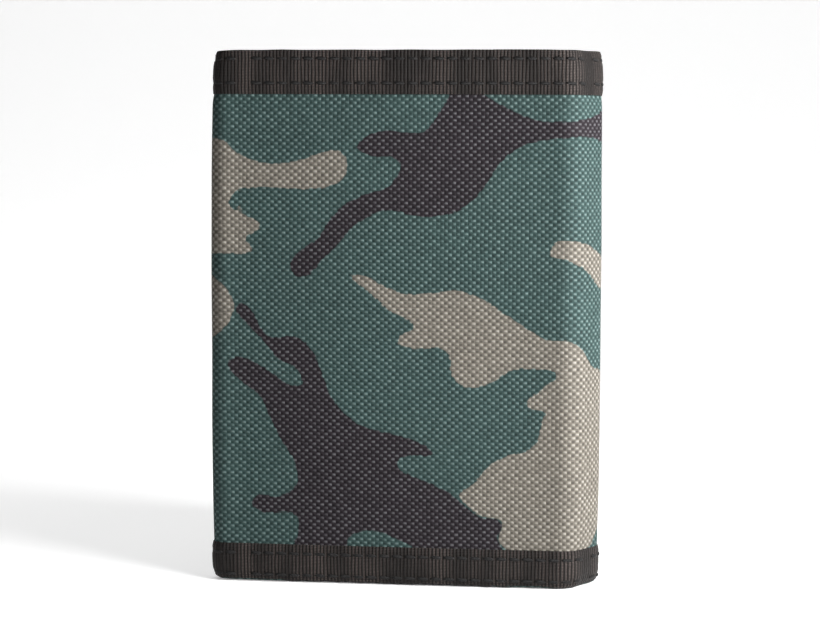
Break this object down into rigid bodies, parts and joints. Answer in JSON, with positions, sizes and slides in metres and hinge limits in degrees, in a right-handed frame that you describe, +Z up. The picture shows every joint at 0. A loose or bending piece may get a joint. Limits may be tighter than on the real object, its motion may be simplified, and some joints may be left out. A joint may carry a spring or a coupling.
{
  "type": "trifold wallet",
  "caption": "Tall trifold wallet of camouflage woven cloth with dark folded tape bindings; its flaps hold card slots, a clear window, a zipped coin pocket and hook-and-loop strips.",
  "frame": {"origin": "bottom of the centre panel's binding, at the middle of its width, on the outside face of the shell", "axes": "+Z up along the wallet's height and its crease lines, +X to the right seen from outside, +Y inwards through the folded layers"},
  "size_m": [0.0884, 0.0792, 0.121],
  "materials": {
    "shell": "printed plain-weave polyester in green, brown-black and beige camouflage, slight sheen",
    "tape": "ribbed woven tape, dark brown-black",
    "interior": "black woven polyester",
    "divider": "thin black taffeta",
    "pocket": "black woven polyester",
    "window": "clear flexible sheet",
    "hook": "black hook tape",
    "loop": "black loop pile",
    "zip_tape": "black herringbone zip tape",
    "coil": "black nylon coil",
    "metal": "black enamelled zinc"
  },
  "bodies": {
    "center": {"shell_center": "shell", "bill_divider_center": "divider", "interior_center": "interior", "top_binding_center": "tape", "interior_binding_center": "tape", "bottom_binding_center": "tape", "window_backing": "pocket", "id_window": "window", "window_trim": "tape"},
    "outer_spine": {"shell_outer_spine": "shell", "bill_divider_outer_spine": "divider", "interior_outer_spine": "interior", "top_binding_outer_spine": "tape", "interior_binding_outer_spine": "tape", "bottom_binding_outer_spine": "tape"},
    "outer_flap": {"shell_outer_flap": "shell", "bill_divider_outer_flap": "divider", "interior_outer_flap": "interior", "top_binding_outer_flap": "tape", "interior_binding_outer_flap": "tape", "bottom_binding_outer_flap": "tape", "end_binding_outer_flap": "tape", "hook_strip": "hook", "coin_pocket_lower": "pocket", "coin_pocket_upper": "pocket", "zip_tape_lower": "zip_tape", "zip_tape_upper": "zip_tape", "zip_coil_lower": "coil", "zip_coil_upper": "coil", "zip_stops": "metal"},
    "inner_spine": {"shell_inner_spine": "shell", "bill_divider_inner_spine": "divider", "interior_inner_spine": "interior", "top_binding_inner_spine": "tape", "interior_binding_inner_spine": "tape", "bottom_binding_inner_spine": "tape"},
    "inner_flap": {"shell_inner_flap": "shell", "bill_divider_inner_flap": "divider", "interior_inner_flap": "interior", "top_binding_inner_flap": "tape", "interior_binding_inner_flap": "tape", "bottom_binding_inner_flap": "tape", "end_binding_inner_flap": "tape", "card_slot_back": "pocket", "card_slot_middle": "pocket", "card_slot_front": "pocket", "loop_strip": "loop"},
    "zip_slider": {"zip_slider": "metal"},
    "zip_pull": {"zip_pull": "metal"}
  },
  "joints": [
    {"name": "outer_fold", "type": "hinge", "parent": "center", "child": "outer_spine", "pos_m": [0.04035, 0.00065, 0], "axis": [0, 0, -1], "range_deg": [-29.5, 60]},
    {"name": "outer_flap_fold", "type": "hinge", "parent": "outer_spine", "child": "outer_flap", "pos_m": [0.04598, 0.01039, 0], "axis": [0, 0, -1], "range_deg": [-29.5, 60]},
    {"name": "inner_fold", "type": "hinge", "parent": "center", "child": "inner_spine", "pos_m": [-0.04035, 0.00065, 0], "axis": [0, 0, 1], "range_deg": [0, 90]},
    {"name": "inner_flap_fold", "type": "hinge", "parent": "inner_spine", "child": "inner_flap", "pos_m": [-0.04035, 0.00585, 0], "axis": [0, 0, 1], "range_deg": [0, 90]},
    {"name": "zip_slide", "type": "slide", "parent": "outer_flap", "child": "zip_slider", "axis": [0.5, -0.866, 0], "range_m": [0, 0.0305]},
    {"name": "zip_pull_turn", "type": "hinge", "parent": "zip_slider", "child": "zip_pull", "pos_m": [0.02026, 0.04739, 0.0897], "axis": [0, 0, -1], "range_deg": [0, 180]}
  ],
  "couplings": [
    {"joint": "outer_flap_fold", "follows": "outer_fold", "ratio": 1},
    {"joint": "inner_flap_fold", "follows": "inner_fold", "ratio": 1}
  ]
}
